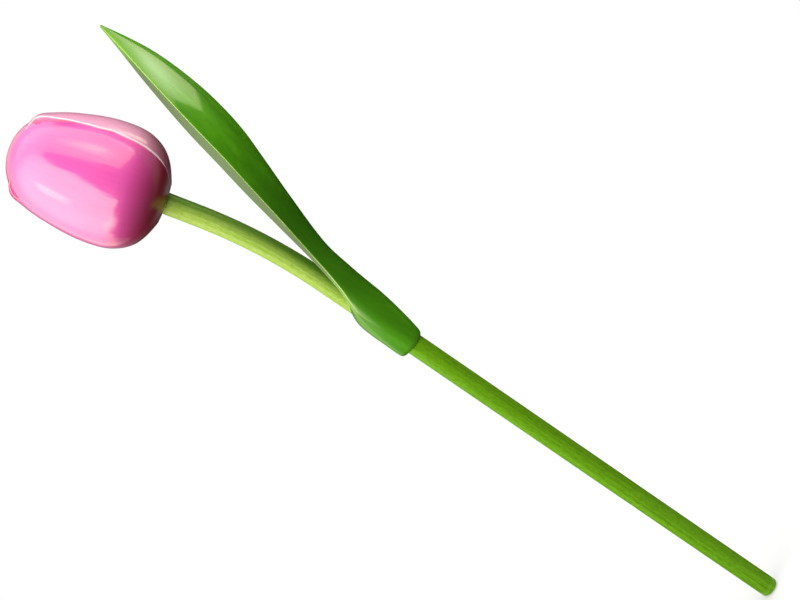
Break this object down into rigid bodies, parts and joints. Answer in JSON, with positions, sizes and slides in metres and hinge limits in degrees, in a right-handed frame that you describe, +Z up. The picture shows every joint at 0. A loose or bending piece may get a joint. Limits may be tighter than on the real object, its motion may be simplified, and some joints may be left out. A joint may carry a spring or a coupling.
{
  "type": "wooden tulip",
  "caption": "Carved and lacquered wooden tulip: a dowel stem with a bent neck, an egg-shaped closed bloom and a leaf that turns on the stem.",
  "frame": {"origin": "centre of the stem's foot end face", "axes": "+Z runs up the straight stem; the leaf leans towards +X and -Y; the neck bends the bloom towards -X"},
  "size_m": [0.0714, 0.0467, 0.339],
  "materials": {
    "stem_lacquer": "grass-green stained dowel under clear gloss lacquer, grain showing",
    "bare_wood": "bare, unfinished",
    "neck_lacquer": "lime-green stained dowel under clear gloss lacquer, grain showing",
    "bloom_lacquer": "pink paint, one petal paler, under clear gloss lacquer",
    "leaf_lacquer": "deep green paint under clear gloss lacquer, grey-green on the narrow edges"
  },
  "bodies": {
    "flower": {"stem": "stem_lacquer", "joining_pin": "bare_wood", "neck": "neck_lacquer", "bloom": "bloom_lacquer"},
    "leaf": {"leaf": "leaf_lacquer"}
  },
  "joints": [
    {"name": "leaf_turn", "type": "hinge", "parent": "flower", "child": "leaf", "pos_m": [0, 0, 0.1775], "axis": [0, 0, 1], "range_deg": [-66, 138]}
  ]
}
